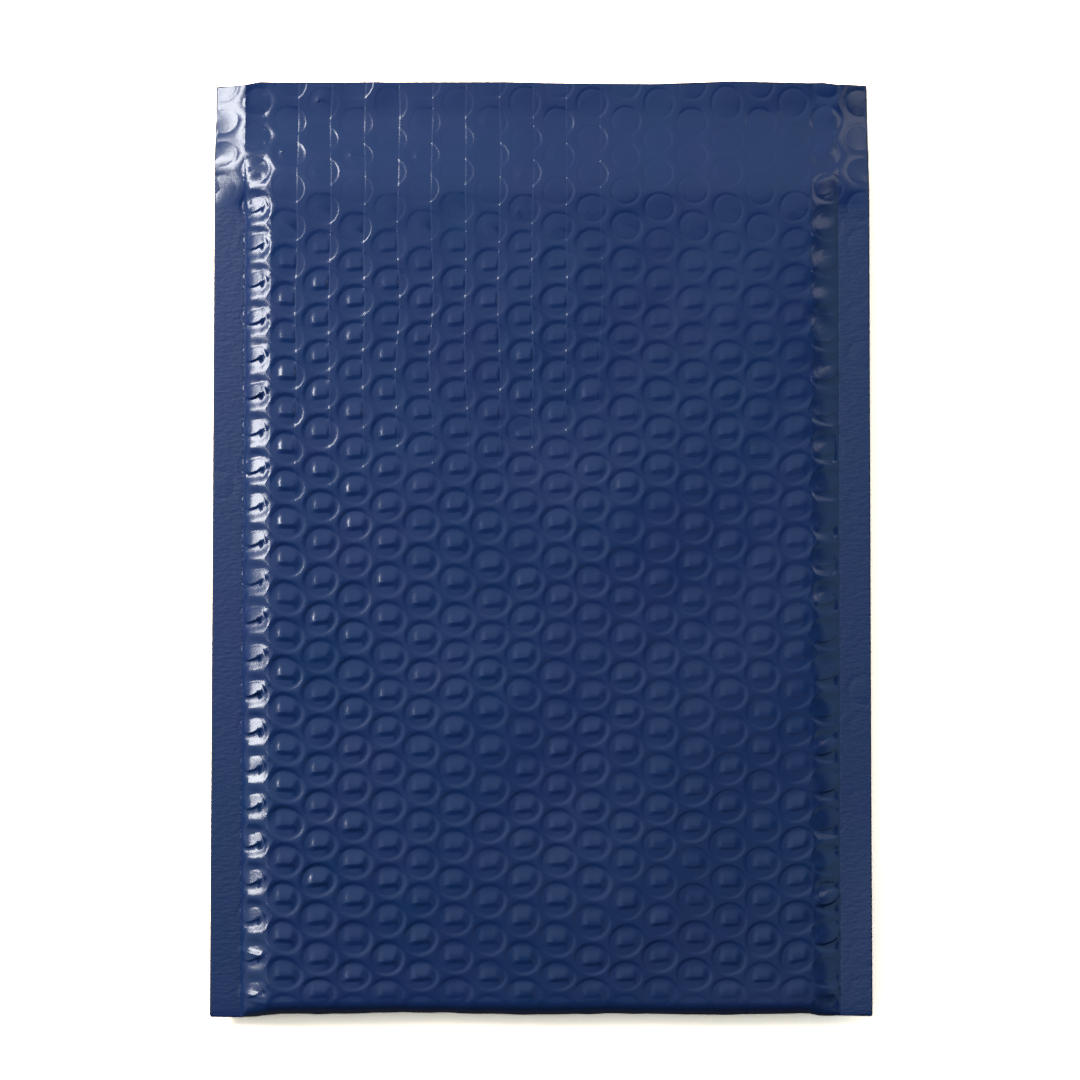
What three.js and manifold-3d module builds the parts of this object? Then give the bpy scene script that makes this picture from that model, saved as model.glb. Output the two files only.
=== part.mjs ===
// A bubble-lined poly mailer, empty, lying face down with its flap open.
// Millimetres, +Z up. X runs across the mailer and Y along it, towards the flap's cut edge.
// The origin lies under the middle of the mailer, on the surface that it rests on.
//
// One web of film and bubble lining makes the flap, the back panel, the bottom fold and the
// front panel. Its side edges are heat-sealed to each other, which leaves a pocket between the
// panels, open at the mouth. A band of adhesive under the flap is covered by a release liner.

import * as THREE from "three";
import { mergeVertices } from "three/addons/utils/BufferGeometryUtils.js";
import Module from "manifold-3d";

// Pouch
const POUCH_WIDTH = 200; // over both side seals
const POCKET_LENGTH = 247; // bottom fold to mouth, with the fold standing round
const FLAP_LENGTH = 39; // mouth to the flap's cut edge, as it droops
const PANEL_THICKNESS = 3; // film and bubbles together
const POCKET_GAP = 5; // how far the empty pocket stands open
const SEAL_WIDTH = 9;
const SEAL_FILM = 0.3; // one layer of flattened web in a seal
const SEAL_SLIT = 0.1; // from a layer to the middle of the seal, at its unwelded rim
const WELD_INSET = 0.4; // from the rim of a seal to its weld
const MOUTH_BAND = 6; // plain strip along the front panel's cut edge

// Padded edge between a seal and the flat of a panel
const SHOULDER_WIDTH = 8.5;
const CREST_DROP = 1.7; // middle of the shoulder below the panel's face
const SCALLOP_DEPTH = 0.5; // swell and sink of the shoulder at each bubble

// Bubble relief: each bubble is a low crown in a round moat, and the web stands between them
const BUBBLE_PITCH = 11.4; // along a column
const COLUMN_PITCH = 10.3;
const WEB_WIDTH = 1.8; // between the moats of neighbouring columns
const MOAT_DEPTH = 0.5;
const CROWN_DEPTH = 0.1;
const DIMPLE_DEPTH = 0.4; // front panel, pressed flat by what it lies on

// Flap, which droops from the mouth and lies flat along its cut edge
const FLAP_BEND_INSET = 3; // from the mouth to the start of the droop
const FLAP_LIE = 8; // stretch that lies flat
const FLAP_EDGE_DROP = 0.6; // where the padding starts to slope to the side, below the flap's face

// Closure under the flap
const LINER_WIDTH = 20;
const LINER_INSET = 4; // from the flap's cut edge
const LINER_THICKNESS = 0.2;
const LINER_OVERHANG = 0.6; // past each side of the flap
const ADHESIVE_WIDTH = 16;
const ADHESIVE_END_MARGIN = 12; // from the pouch's side to the end of the band
const ADHESIVE_THICKNESS = 0.3;
const LAYER_GAP = 0.15; // between stacked layers

const FOLD_STEPS = 8; // facets round the bottom fold
const HALF_TURN = Math.PI;

// Places that follow from the sizes
const totalLength = POCKET_LENGTH + FLAP_LENGTH;
const tipY = totalLength / 2;
const mouthY = tipY - FLAP_LENGTH;
const foldOuterRadius = PANEL_THICKNESS + POCKET_GAP / 2;
const foldInnerRadius = POCKET_GAP / 2;
const foldY = foldOuterRadius - totalLength / 2; // where the panels turn into the fold
const edgeX = POUCH_WIDTH / 2;
const weldX = edgeX - SEAL_WIDTH;
const fieldX = weldX - SHOULDER_WIDTH;
const weldZ = PANEL_THICKNESS + POCKET_GAP / 2;
const linerInnerY = tipY - LINER_INSET - LINER_WIDTH;
const closureStack = LINER_THICKNESS + ADHESIVE_THICKNESS + 3 * LAYER_GAP;

const columnCount = Math.round((2 * fieldX) / COLUMN_PITCH);
const columnStep = (2 * fieldX) / columnCount;
const backRows = Math.round((tipY - foldY) / BUBBLE_PITCH);
const backStep = (tipY - foldY) / (2 * backRows); // half a bubble pitch
const frontRows = Math.round((mouthY - MOUTH_BAND - foldY) / BUBBLE_PITCH);
const frontStep = (mouthY - MOUTH_BAND - foldY) / (2 * frontRows);
const moatRadius = (columnStep - WEB_WIDTH) / 2;

// Heights of the back panel and the flap

// Inner face of the flat panel, which sinks to the closure's thickness along the flap.
function panelFloor(y) {
  const sunk = THREE.MathUtils.smoothstep(y, mouthY + FLAP_BEND_INSET, tipY - FLAP_LIE);
  return THREE.MathUtils.lerp(PANEL_THICKNESS + POCKET_GAP, closureStack, sunk);
}

// How far the side strips have left the seals: not at all at the mouth, fully at the liner.
const flapShare = (y) => THREE.MathUtils.smoothstep(y, mouthY, linerInnerY);

// Inner face of the flat side strips, level with the panel where the liner lies.
function stripFloor(y) {
  return panelFloor(y) - (1 - flapShare(y)) * (POCKET_GAP / 2 - SEAL_SLIT);
}

const stripTop = (y) => stripFloor(y) + SEAL_FILM;
const panelTop = (y) => panelFloor(y) + PANEL_THICKNESS;

// Outer face where a seal starts. On the flap the padding runs on, and the strip slopes.
function shoulderFoot(y) {
  return THREE.MathUtils.lerp(stripTop(y), panelTop(y) - FLAP_EDGE_DROP, flapShare(y));
}

// Stations along the web, from the flap's cut edge down the back, round the fold and up the
// front to the mouth. They are half a bubble apart, and the plain strips use only the whole ones.
const stations = [];
for (let k = 0; k <= 2 * backRows; k++) {
  const y = tipY - k * backStep;
  stations.push({ y, turn: 0, whole: k % 2 === 0 || y > mouthY });
}
const foldStart = stations.length - 1;
for (let k = 1; k < FOLD_STEPS; k++) {
  stations.push({ y: foldY, turn: (HALF_TURN * k) / FOLD_STEPS, whole: true });
}
const frontStart = stations.length;
for (let k = 0; k <= 2 * frontRows; k++) {
  stations.push({ y: foldY + k * frontStep, turn: HALF_TURN, whole: k % 2 === 0 });
}
const bandStart = stations.length - 1;
stations.push({ y: mouthY, turn: HALF_TURN, whole: true });

// The web's surface, made of lines that run its whole length
const points = [];
const triangles = [];

// Adds a point whose height on the back panel is z, turned round the fold by turn.
function addPoint(x, y, z, turn, radius) {
  points.push(x, y - radius * Math.sin(turn), weldZ + (z - weldZ) * Math.cos(turn));
  return points.length / 3 - 1;
}

function addTriangle(a, b, c) {
  triangles.push(a, b, c);
}

// A line at x, with one point for each station. heightAt gives its height on the back panel.
function makeLine(x, radius, heightAt, wholeOnly) {
  const line = [];
  stations.forEach((station, k) => {
    if (wholeOnly && !station.whole) return;
    const id = addPoint(x, station.y, heightAt(station.y, k), station.turn, radius);
    line.push({ at: k, id });
  });
  return { x, line };
}

// Joins two rows of points into a strip, in step with their positions along it.
function stitch(first, second) {
  let i = 0;
  let j = 0;
  while (i < first.length - 1 || j < second.length - 1) {
    const nextFirst = i < first.length - 1 ? first[i + 1].at : Infinity;
    const nextSecond = j < second.length - 1 ? second[j + 1].at : Infinity;
    if (nextFirst <= nextSecond) {
      addTriangle(first[i].id, first[i + 1].id, second[j].id);
      i += 1;
    } else {
      addTriangle(first[i].id, second[j + 1].id, second[j].id);
      j += 1;
    }
  }
}

// Height of a shoulder's crest line, swelling at each bubble of the column that it cuts.
function crestHeight(phase) {
  return (y, k) => {
    const swell = (k + phase) % 2 === 0 ? SCALLOP_DEPTH : -SCALLOP_DEPTH;
    return panelTop(y) - THREE.MathUtils.lerp(CREST_DROP, SCALLOP_DEPTH, flapShare(y)) + swell;
  };
}

function makeOuterLines() {
  const crestX = (weldX + fieldX) / 2;
  const lines = [
    makeLine(-edgeX, foldOuterRadius, stripTop, true),
    makeLine(-weldX, foldOuterRadius, shoulderFoot, true),
    makeLine(-crestX, foldOuterRadius, crestHeight(1), false),
  ];
  for (let c = 0; c <= columnCount; c++) {
    lines.push(makeLine(c * columnStep - fieldX, foldOuterRadius, panelTop, false));
  }
  lines.push(makeLine(crestX, foldOuterRadius, crestHeight(columnCount), false));
  lines.push(makeLine(weldX, foldOuterRadius, shoulderFoot, true));
  lines.push(makeLine(edgeX, foldOuterRadius, stripTop, true));
  return lines;
}

function makeInnerLines() {
  return [
    makeLine(-edgeX, foldInnerRadius, stripFloor, true),
    makeLine(-weldX, foldInnerRadius, stripFloor, true),
    makeLine(-fieldX, foldInnerRadius, panelFloor, true),
    makeLine(fieldX, foldInnerRadius, panelFloor, true),
    makeLine(weldX, foldInnerRadius, stripFloor, true),
    makeLine(edgeX, foldInnerRadius, stripFloor, true),
  ];
}

// The six points round a cell of one bubble, from its first corner up the left side.
function cellRim(left, right, k) {
  return [left[k], left[k + 1], left[k + 2], right[k + 2], right[k + 1], right[k]].map((p) => p.id);
}

function joinRings(outer, inner) {
  outer.forEach((id, i) => {
    const next = (i + 1) % outer.length;
    addTriangle(id, outer[next], inner[next]);
    addTriangle(id, inner[next], inner[i]);
  });
}

function joinToCentre(ring, centre) {
  ring.forEach((id, i) => addTriangle(id, ring[(i + 1) % ring.length], centre));
}

// A bubble on the back: the web's ridge, a hexagonal moat and a crown.
function bubbleCell(left, right, k, x) {
  const { y, turn } = stations[k + 1];
  const moat = [240, 180, 120, 60, 0, 300].map((degrees) => {
    const angle = THREE.MathUtils.degToRad(degrees);
    const moatY = y - moatRadius * Math.sin(angle);
    const moatX = x + moatRadius * Math.cos(angle);
    return addPoint(moatX, moatY, panelTop(moatY) - MOAT_DEPTH, turn, foldOuterRadius);
  });
  const crown = addPoint(x, y, panelTop(y) - CROWN_DEPTH, turn, foldOuterRadius);
  joinRings(cellRim(left, right, k), moat);
  joinToCentre(moat, crown);
}

// A bubble on the front, flattened to a shallow dimple.
function dimpleCell(left, right, k, x) {
  const { y, turn } = stations[k + 1];
  const centre = addPoint(x, y, panelTop(y) - DIMPLE_DEPTH, turn, foldOuterRadius);
  joinToCentre(cellRim(left, right, k), centre);
}

// Fills a column between two stations with cells, and its ends with plain web.
function fillColumn(left, right, first, last, offset, makeCell) {
  const x = (left.x + right.x) / 2;
  stitch(left.line.slice(first, first + offset + 1), right.line.slice(first, first + offset + 1));
  let k = first + offset;
  for (; k + 2 <= last; k += 2) makeCell(left.line, right.line, k, x);
  stitch(left.line.slice(k, last + 1), right.line.slice(k, last + 1));
}

function fillWebColumn(left, right, column) {
  const offset = (column + 1) % 2; // every other column starts half a bubble later
  fillColumn(left, right, 0, foldStart, offset, bubbleCell);
  stitch(left.line.slice(foldStart, frontStart + 1), right.line.slice(foldStart, frontStart + 1));
  fillColumn(left, right, frontStart, bandStart, offset, dimpleCell);
  stitch(left.line.slice(bandStart), right.line.slice(bandStart));
}

function makeWeb() {
  const outer = makeOuterLines();
  const inner = makeInnerLines();
  const firstColumn = 3; // the seal's two lines and the shoulder's crest come before it
  const loop = [...outer, ...inner.slice().reverse(), outer[0]];
  loop.slice(1).forEach((right, i) => {
    const column = i - firstColumn;
    if (column >= 0 && column < columnCount) fillWebColumn(loop[i], right, column);
    else stitch(loop[i].line, right.line);
  });
  const rowAt = (lines, end) => lines.map(({ x, line }) => ({ at: x, id: line.at(end).id }));
  stitch(rowAt(outer, 0), rowAt(inner, 0));
  stitch(rowAt(inner, -1), rowAt(outer, -1));
  return new THREE.BufferGeometry()
    .setAttribute("position", new THREE.Float32BufferAttribute(points, 3))
    .setIndex(triangles);
}

// Joining solids
const wasm = await Module();
wasm.setup();

function toSolid(geometry) {
  const bare = geometry.clone();
  bare.deleteAttribute("normal");
  bare.deleteAttribute("uv");
  const merged = mergeVertices(bare);
  return new wasm.Manifold(
    new wasm.Mesh({
      numProp: 3,
      vertProperties: merged.attributes.position.array,
      triVerts: new Uint32Array(merged.index.array),
    }),
  );
}

function toGeometry(solid) {
  const mesh = solid.getMesh();
  const geometry = new THREE.BufferGeometry()
    .setAttribute("position", new THREE.BufferAttribute(mesh.vertProperties, 3))
    .setIndex(new THREE.BufferAttribute(mesh.triVerts, 1));
  geometry.computeVertexNormals();
  return geometry;
}

// The weld that fills a seal between its two layers, from the fold to the mouth.
function makeWeld(side) {
  const width = SEAL_WIDTH - 2 * WELD_INSET;
  const startY = foldY - foldInnerRadius - WELD_INSET;
  const endY = mouthY - WELD_INSET;
  const height = 2 * SEAL_SLIT + SEAL_FILM;
  return new THREE.BoxGeometry(width, endY - startY, height).translate(
    side * (edgeX - SEAL_WIDTH / 2),
    (startY + endY) / 2,
    weldZ,
  );
}

function makePouch() {
  const web = toSolid(makeWeb());
  return toGeometry([-1, 1].reduce((solid, side) => solid.add(toSolid(makeWeld(side))), web));
}

// The flap's underside as it is faceted: straight between the stations.
function underFlap(y) {
  const k = Math.floor((tipY - y) / backStep);
  const share = (tipY - y) / backStep - k;
  return THREE.MathUtils.lerp(
    panelFloor(stations[k].y),
    panelFloor(stations[k + 1].y),
    share,
  );
}

// A layer that follows the flap's underside between two places, a given depth below it.
function makeFlapLayer(nearY, farY, length, depth, thickness) {
  const bends = stations.filter(({ y, turn }) => turn === 0 && y > nearY && y < farY).map(({ y }) => y);
  const along = [farY, ...bends, nearY];
  const upper = along.map((y) => new THREE.Vector2(y, underFlap(y) - depth));
  const lower = along.map((y) => new THREE.Vector2(y, underFlap(y) - depth - thickness));
  const shape = new THREE.Shape([...upper, ...lower.reverse()]);
  return new THREE.ExtrudeGeometry(shape, { depth: length, bevelEnabled: false })
    .translate(0, 0, -length / 2);
}

function makeAdhesive() {
  const middleY = tipY - LINER_INSET - LINER_WIDTH / 2;
  const nearY = middleY - ADHESIVE_WIDTH / 2;
  const length = POUCH_WIDTH - 2 * ADHESIVE_END_MARGIN;
  return makeFlapLayer(nearY, nearY + ADHESIVE_WIDTH, length, LAYER_GAP, ADHESIVE_THICKNESS);
}

function makeLiner() {
  const length = POUCH_WIDTH + 2 * LINER_OVERHANG;
  const depth = 2 * LAYER_GAP + ADHESIVE_THICKNESS;
  return makeFlapLayer(linerInnerY, linerInnerY + LINER_WIDTH, length, depth, LINER_THICKNESS);
}

// The object
const film = new THREE.MeshStandardMaterial({ color: 0x22396b, roughness: 0.4, metalness: 0 });
const glue = new THREE.MeshStandardMaterial({ color: 0xd9d2bd, roughness: 0.3, metalness: 0 });
const paper = new THREE.MeshStandardMaterial({ color: 0xf2f1ec, roughness: 0.45, metalness: 0 });

const mailer = new THREE.Group();
const acrossX = new THREE.Matrix4().makeBasis(
  new THREE.Vector3(0, 1, 0),
  new THREE.Vector3(0, 0, 1),
  new THREE.Vector3(1, 0, 0),
);

function addPart(name, geometry, material) {
  const mesh = new THREE.Mesh(geometry, material);
  mesh.name = name;
  mailer.add(mesh);
  return mesh;
}

addPart("pouch", makePouch(), film);
addPart("adhesive_strip", makeAdhesive(), glue).setRotationFromMatrix(acrossX);
addPart("release_liner", makeLiner(), paper).setRotationFromMatrix(acrossX);

export default mailer;
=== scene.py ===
# %% [markdown]
# A bubble-lined film mailer, in Blender
#
# The object is an empty postal pouch of dark blue film, laminated to a lining of small air
# bubbles. It lies face down with its flap open, and it is seen from straight above. The CAD
# model gives its size and its solids. This lesson dresses them: the soft relief that each bubble
# leaves in the film, the padded edges, the flat heat seals, and the satin of the plastic.

import math

import bmesh
import bpy
import numpy as np
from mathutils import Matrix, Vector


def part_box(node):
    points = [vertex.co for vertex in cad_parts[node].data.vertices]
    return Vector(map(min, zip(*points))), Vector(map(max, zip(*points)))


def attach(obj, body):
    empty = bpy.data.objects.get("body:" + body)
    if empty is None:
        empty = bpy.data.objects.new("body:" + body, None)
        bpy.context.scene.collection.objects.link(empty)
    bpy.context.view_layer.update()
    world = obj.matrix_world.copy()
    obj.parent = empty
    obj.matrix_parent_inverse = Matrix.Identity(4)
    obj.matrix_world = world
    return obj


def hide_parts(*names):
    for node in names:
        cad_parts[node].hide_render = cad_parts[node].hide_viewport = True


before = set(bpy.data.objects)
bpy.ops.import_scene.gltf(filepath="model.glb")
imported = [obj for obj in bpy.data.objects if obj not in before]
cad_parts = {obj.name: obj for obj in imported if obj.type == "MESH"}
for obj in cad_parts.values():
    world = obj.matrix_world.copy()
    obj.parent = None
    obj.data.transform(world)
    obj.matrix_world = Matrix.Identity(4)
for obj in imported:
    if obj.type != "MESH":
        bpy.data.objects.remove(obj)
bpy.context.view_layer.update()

# %% [markdown]
# Sizes
#
# All lengths below are in millimetres, as in the CAD model, and they are turned into metres only
# when a mesh is made. The outer sizes are read from the frame, so that the film always fits the
# solids. The seal, the padded shoulder and the bubble pitch are the maker's own sizes.

# %% Sizes of the web
METRE = 0.001  # one millimetre in metres

pouch_low, pouch_high = (np.array(corner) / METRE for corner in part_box("pouch"))
EDGE_X = pouch_high[0]
TIP_Y = pouch_high[1]
BODY_TOP = pouch_high[2]
FLAP_LENGTH = 39.0
PANEL_THICKNESS = 3.0
SEAL_WIDTH = 9.0
SHOULDER_WIDTH = 8.5
SEAL_FILM = 0.3  # thickness of each film in a seal, as the CAD model has it
SEAL_SLIT = 0.1  # from the middle of a seal to the underside of its upper film
BUBBLE_PITCH = 11.38
COLUMN_PITCH = 10.3125

MOUTH_Y = TIP_Y - FLAP_LENGTH
WELD_X = EDGE_X - SEAL_WIDTH
FIELD_X = WELD_X - SHOULDER_WIDTH
WELD_Z = BODY_TOP / 2
FOLD_RADIUS = BODY_TOP / 2
FOLD_Y = pouch_low[1] + FOLD_RADIUS
print(f"pouch {2 * EDGE_X:.0f} mm wide, mouth at y = {MOUTH_Y:.0f} mm, fold at y = {FOLD_Y:.1f} mm")

# %% [markdown]
# The camera
#
# The picture is taken from about a metre above the mailer. The mailer's lower end is a little
# wider in it than its flap, so the camera leans by a few degrees towards the flap. The lens is
# set from the width that the whole picture covers at the height of the film.

# %% Camera
CAMERA_DISTANCE = 1000.0
VIEW_WIDTH = 329.1  # what the picture's width covers
CAMERA_LEAN = math.radians(2.65)
CAMERA_ROLL = math.radians(0.07)
AIM = np.array([-0.3, 2.0, 8.0])
SENSOR_WIDTH = 36.0

camera_data = bpy.data.cameras.new("camera")
camera_data.sensor_width = SENSOR_WIDTH
camera_data.lens = SENSOR_WIDTH * CAMERA_DISTANCE / VIEW_WIDTH
camera = bpy.data.objects.new("camera", camera_data)
camera.rotation_euler = (CAMERA_LEAN, 0.0, CAMERA_ROLL)
look = np.array(camera.rotation_euler.to_matrix().col[2])
camera.location = (AIM + CAMERA_DISTANCE * look) * METRE
bpy.context.scene.collection.objects.link(camera)
bpy.context.scene.camera = camera
bpy.context.scene.view_settings.view_transform = "Standard"
print("lens, mm:", round(camera_data.lens, 1))

# %% [markdown]
# Helpers for shader nodes
#
# Every finish below is a small tree of shader nodes. Two helpers keep the trees short: one adds a
# node and sets its sockets, the other gives a fresh material with its output node.


# %% Node helpers
def add_node(tree, kind, settings=None, **sockets):
    """Adds a node. Settings are its own properties; sockets are values, or outputs to link."""
    node = tree.nodes.new(kind)
    for name, value in (settings or {}).items():
        setattr(node, name, value)
    for name, value in sockets.items():
        key = int(name[1:]) if name[0] == "_" else name.replace("_", " ")
        if isinstance(value, bpy.types.NodeSocket):
            tree.links.new(value, node.inputs[key])
        else:
            node.inputs[key].default_value = value
    return node


def new_material(name):
    """An empty node material, with its output node."""
    material = bpy.data.materials.new(name)
    material.use_nodes = True
    material.node_tree.nodes.clear()
    output = material.node_tree.nodes.new("ShaderNodeOutputMaterial")
    return material, material.node_tree, output


# %% [markdown]
# Floor, backdrop and light
#
# The mailer lies on a white sheet. A long, low window at its upper left gives the white crescents
# on the left padded edge and the glare on the flap's left strip. The half of the room beyond the
# flap is bright, and the half nearer to the viewer is dark: the film mirrors both, so it pales
# towards the flap. A small pane at the upper right lights the flap's right strip, a wide bluish
# fill from the right softens the shade of the right padded edge, and a faint pane above the lower
# end shows in the round of the fold. The floor takes the shadow in its own colour, and camera rays
# see it brightened to white.

# %% Floor
FLOOR_SIZE = 8.0
FLOOR_COLOUR = (0.10, 0.095, 0.09, 1.0)  # for the light that it throws back
FLOOR_SEEN = (5.00, 3.80, 2.95, 1.0)  # for the camera: white but for the deep shadow
FLOOR_GRAIN_TONE = 0.97
FLOOR_GRAIN_SCALE = 900.0


def make_floor():
    mesh = bpy.data.meshes.new("floor")
    half = FLOOR_SIZE / 2
    corners = [(-half, -half, 0), (half, -half, 0), (half, half, 0), (-half, half, 0)]
    mesh.from_pydata(corners, [], [(0, 1, 2, 3)])
    floor = bpy.data.objects.new("floor", mesh)
    bpy.context.scene.collection.objects.link(floor)
    material, tree, output = new_material("white_sheet")
    coordinates = add_node(tree, "ShaderNodeTexCoord")
    grain = add_node(
        tree,
        "ShaderNodeTexNoise",
        Vector=coordinates.outputs["Object"],
        Scale=FLOOR_GRAIN_SCALE,
        Detail=2.0,
    )
    tint = add_node(
        tree,
        "ShaderNodeMix",
        {"data_type": "RGBA"},
        _0=grain.outputs["Fac"],
        _6=FLOOR_COLOUR,
        _7=tuple(FLOOR_GRAIN_TONE * c for c in FLOOR_COLOUR[:3]) + (1.0,),
    )
    sheet = add_node(tree, "ShaderNodeBsdfDiffuse", Color=tint.outputs[2])
    white = add_node(tree, "ShaderNodeBsdfDiffuse", Color=FLOOR_SEEN)
    rays = add_node(tree, "ShaderNodeLightPath")
    seen = add_node(
        tree,
        "ShaderNodeMixShader",
        _0=rays.outputs["Is Camera Ray"],
        _1=sheet.outputs[0],
        _2=white.outputs[0],
    )
    tree.links.new(seen.outputs[0], output.inputs["Surface"])
    mesh.materials.append(material)
    return floor


floor = make_floor()
print("floor", FLOOR_SIZE, "m wide")

# %% World
SKY_LIGHT = (0.05, 0.66)  # from the dark half of the room, and from its bright half
SKY_COLOUR = (0.78, 0.97, 1.08, 1.0)
SKY_TOWARDS = (-0.55, 0.835, 0.0)  # where the bright half lies
SKY_EDGE = (-0.075, 0.18)  # between which the halves blend


def set_world():
    world = bpy.data.worlds.new("studio")
    bpy.context.scene.world = world
    world.use_nodes = True
    tree = world.node_tree
    tree.nodes.clear()
    rays = add_node(tree, "ShaderNodeLightPath")
    direction = add_node(tree, "ShaderNodeTexCoord")
    towards = add_node(
        tree,
        "ShaderNodeVectorMath",
        {"operation": "DOT_PRODUCT"},
        _0=direction.outputs["Generated"],
        _1=SKY_TOWARDS,
    )
    halves = add_node(
        tree,
        "ShaderNodeMapRange",
        {"interpolation_type": "SMOOTHSTEP"},
        _0=towards.outputs["Value"],
        _1=SKY_EDGE[0],
        _2=SKY_EDGE[1],
        _3=SKY_LIGHT[0],
        _4=SKY_LIGHT[1],
    )
    even = add_node(tree, "ShaderNodeBackground", Color=SKY_COLOUR, Strength=halves.outputs[0])
    white = add_node(tree, "ShaderNodeBackground", Color=(1, 1, 1, 1), Strength=1.0)
    mixed = add_node(
        tree,
        "ShaderNodeMixShader",
        _0=rays.outputs["Is Camera Ray"],
        _1=even.outputs[0],
        _2=white.outputs[0],
    )
    output = add_node(tree, "ShaderNodeOutputWorld")
    tree.links.new(mixed.outputs[0], output.inputs["Surface"])


set_world()
print("world:", bpy.context.scene.world.name)

# %% Lamps
LAMPS = {
    # name: place in metres, width, height, watts, colour
    "long_window": ((-0.47, 0.31, 0.42), 0.58, 0.17, 7.6, (1.0, 1.0, 1.0)),
    "right_pane": ((0.50, 0.42, 0.50), 0.34, 0.34, 0.55, (1.0, 1.0, 1.0)),
    "low_fill": ((0.95, -0.05, 0.32), 1.20, 0.80, 2.0, (0.50, 0.85, 1.20)),
    "lower_pane": ((0.15, -0.21, 0.50), 0.20, 0.20, 0.03, (0.85, 0.95, 1.0)),
}


def make_lamp(name, place, width, height, watts, colour):
    """An area lamp aimed at the middle of the mailer."""
    data = bpy.data.lights.new(name, "AREA")
    data.shape = "RECTANGLE"
    data.size = width
    data.size_y = height
    data.energy = watts
    data.color = colour
    lamp = bpy.data.objects.new(name, data)
    lamp.location = place
    lamp.rotation_euler = (-lamp.location).to_track_quat("-Z", "Y").to_euler()
    bpy.context.scene.collection.objects.link(lamp)
    return lamp


for name, settings in LAMPS.items():
    make_lamp(name, *settings)
print("lamps:", ", ".join(LAMPS))

# %% [markdown]
# The web as a curve
#
# Film and bubbles come off one roll, as a web. A place on it is given by x, across, and by s, the
# length along it from the flap's cut edge: down the flap and the back, round the bottom fold, and
# up the front to the mouth. A cloth simulation could fold a flat sheet like that, but it would lose
# the exact places of the seals and the bubbles, so functions say how high the back of the web
# stands at each place. They follow the CAD solids: padded panels, thin seals, and a flap that
# droops until its edge lies on the closure. The two sides of a limp pouch differ a little, so some
# sizes are a pair, for the left and the right.

# %% Height of the plain web
CLOSURE_STACK = 0.95  # liner and adhesive under the flap's edge
FLAP_BEND = 3.0
FLAP_LIE = 8.0
FLAP_EDGE_DROP = (-0.6, 0.2)  # left and right, from the flap's face to its side strips
FOOT_RISE = 5.0  # how far below the mouth the strip starts to rise
FOOT_END = 10.0  # from the cut edge to where it has risen
LINER_REACH = 24.0  # from the cut edge to the liner's inner side
STRIP_DROOP = (1.3, 0.0)  # left and right, of the strip's outer edge
DROOP_START = (MOUTH_Y, MOUTH_Y + 6.0)  # it droops from the mouth on
DROOP_END = (MOUTH_Y + 8.0, TIP_Y - LINER_REACH)  # and only as far as the liner
SLOPE_SHARE = (0.60, 0.85)  # of the padded edge's drop; the rest is a wall beside the seal
SLOPE_POWER = (1.08, 1.3)  # how round the slope is, left and right
WALL_POWER = (9.0, 4.0)  # how steep the wall is, left and right
STRIP_POWER = 1.1


def smooth(value, start, end):
    """0 before start, 1 after end, and an even S between them."""
    t = np.clip((value - start) / (end - start), 0.0, 1.0)
    return t * t * (3.0 - 2.0 * t)


def by_side(x, pair):
    return np.where(np.asarray(x) < 0, pair[0], pair[1])


def flap_share(y):
    """0 on the body, 1 where the side strips have left the seals."""
    return smooth(y, MOUTH_Y, TIP_Y - LINER_REACH)


def panel_floor(y):
    sunk = smooth(y, MOUTH_Y + FLAP_BEND, TIP_Y - FLAP_LIE)
    return (BODY_TOP - PANEL_THICKNESS) * (1.0 - sunk) + CLOSURE_STACK * sunk


def strip_floor(y):
    return panel_floor(y) - (1.0 - flap_share(y)) * (BODY_TOP / 2 - PANEL_THICKNESS - SEAL_SLIT)


def padding(x):
    """1 on the flat of a panel, falling over a slope and a wall to 0 where the seal starts."""
    t = np.clip((np.abs(x) - FIELD_X) / SHOULDER_WIDTH, 0.0, 1.0)
    share = by_side(x, SLOPE_SHARE)
    return 1.0 - share * t ** by_side(x, SLOPE_POWER) - (1.0 - share) * t ** by_side(x, WALL_POWER)


def outer_height(x, y):
    strip = strip_floor(y) + SEAL_FILM
    panel = panel_floor(y) + PANEL_THICKNESS
    rise = panel - by_side(x, FLAP_EDGE_DROP) - strip
    foot = strip + rise * smooth(y, MOUTH_Y - FOOT_RISE, TIP_Y - FOOT_END)
    droop = smooth(y, *DROOP_START) * (1.0 - smooth(y, *DROOP_END))
    edge = strip - by_side(x, STRIP_DROOP) * droop
    t = np.clip((np.abs(x) - WELD_X) / SEAL_WIDTH, 0.0, 1.0)
    return edge + (foot - edge) * (1.0 - t**STRIP_POWER) + (panel - foot) * padding(x)


def web_thickness(x, y):
    inner = strip_floor(y) + (panel_floor(y) - strip_floor(y)) * padding(x)
    return outer_height(x, y) - inner


print(f"film stands {outer_height(0.0, 0.0):.1f} mm high, seals {outer_height(95.0, 0.0):.1f} mm")

# %% [markdown]
# Folding the web
#
# The web keeps its length when it bends, so the bubbles on the drooping flap look closer together
# from above. A table of the length along the web against y gives that. The bottom fold is a half
# round. It draws in a little from the corners of the seals, more at the left, and the seals
# themselves are not quite level. The film of the back has slid about a millimetre towards the
# fold, in slow waves, so its columns of bubbles are not quite straight.

# %% Length along the web
TABLE_STEP = 0.1

table_y = np.arange(TIP_Y, FOLD_Y - TABLE_STEP / 2, -TABLE_STEP)
table_steps = np.hypot(np.diff(table_y), np.diff(panel_floor(table_y)))
table_s = np.concatenate([[0.0], np.cumsum(table_steps)])
BACK_END = table_s[-1]
FOLD_END = BACK_END + math.pi * FOLD_RADIUS
WEB_END = FOLD_END + MOUTH_Y - FOLD_Y
print(f"web {2 * EDGE_X:.0f} x {WEB_END:.1f} mm before folding")


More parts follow.
